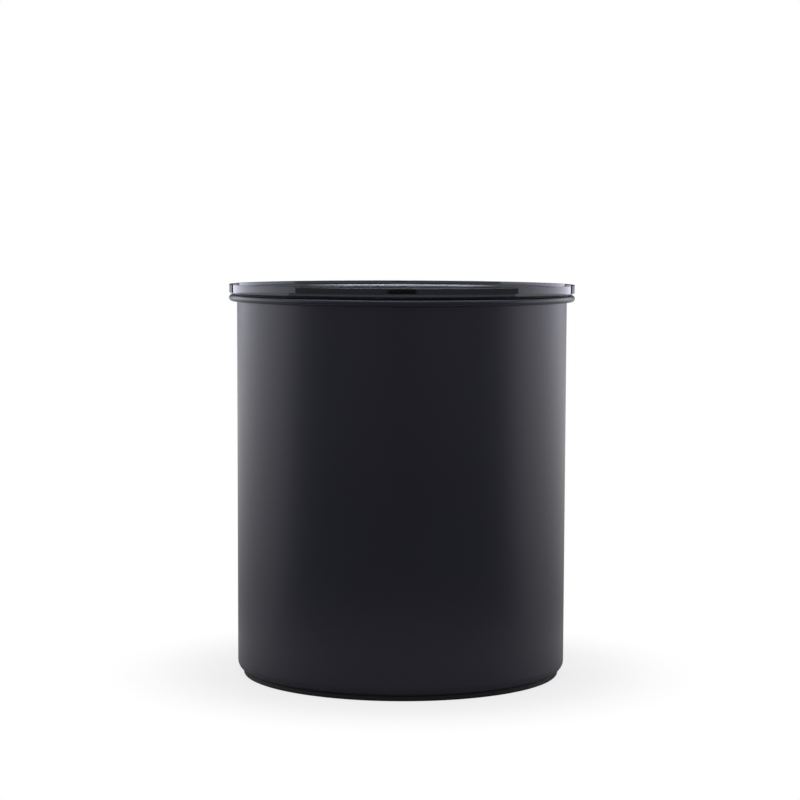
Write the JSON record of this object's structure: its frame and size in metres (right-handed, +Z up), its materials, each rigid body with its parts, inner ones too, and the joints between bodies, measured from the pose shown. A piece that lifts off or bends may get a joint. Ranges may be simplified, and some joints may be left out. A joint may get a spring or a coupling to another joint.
{
  "type": "coffee canister",
  "caption": "Matt black steel coffee canister with rolled rim, smoke-clear press-on lid and a sliding inner lid whose folding handle works its air valve.",
  "frame": {"origin": "middle of the foot of the can, on the surface that it stands on", "axes": "+Z up along the axis of the can; the folded handle of the inner lid points to -Y, the front; its pin is along X"},
  "size_m": [0.1766, 0.1766, 0.2],
  "materials": {
    "can_paint": "matt black powder coat on drawn steel",
    "foot_rubber": "matt black rubber",
    "clear_lid": "polished plastic, see-through with a dark smoke tint",
    "lid_silicone": "smooth black silicone",
    "disc_plastic": "fine-grained black moulded plastic",
    "wiper_silicone": "smooth dark grey silicone",
    "housing_plastic": "satin black moulded plastic",
    "screw_steel": "plain stainless steel",
    "poppet_plastic": "grey acetal",
    "spring_steel": "bright spring steel",
    "handle_plastic": "satin black moulded plastic",
    "pin_steel": "ground stainless steel"
  },
  "bodies": {
    "canister": {"canister_shell": "can_paint", "base_ring": "foot_rubber"},
    "outer_lid": {"lid_shell": "clear_lid", "lid_gasket": "lid_silicone"},
    "inner_lid": {"inner_lid_disc": "disc_plastic", "wiper_seal": "wiper_silicone", "valve_housing": "housing_plastic", "housing_screws": "screw_steel", "hinge_pin": "pin_steel", "pin_clip": "spring_steel", "valve_spring": "spring_steel"},
    "handle": {"handle": "handle_plastic"},
    "valve": {"valve_poppet": "poppet_plastic", "valve_washer": "wiper_silicone"}
  },
  "joints": [
    {"name": "lid_lift", "type": "slide", "parent": "canister", "child": "outer_lid", "axis": [0, 0, 1], "range_m": [0, 0.075]},
    {"name": "plunger_slide", "type": "slide", "parent": "canister", "child": "inner_lid", "axis": [0, 0, 1], "range_m": [-0.1116, 0.005]},
    {"name": "handle_fold", "type": "hinge", "parent": "inner_lid", "child": "handle", "pos_m": [0, 0, 0.1412], "axis": [-1, 0, 0], "range_deg": [0, 90]},
    {"name": "valve_rise", "type": "slide", "parent": "inner_lid", "child": "valve", "axis": [0, 0, 1], "range_m": [0, 0.002], "deforming": ["valve_spring"]}
  ],
  "couplings": [
    {"joint": "valve_rise", "follows": "handle_fold", "m_per_rad": 0.001273}
  ]
}
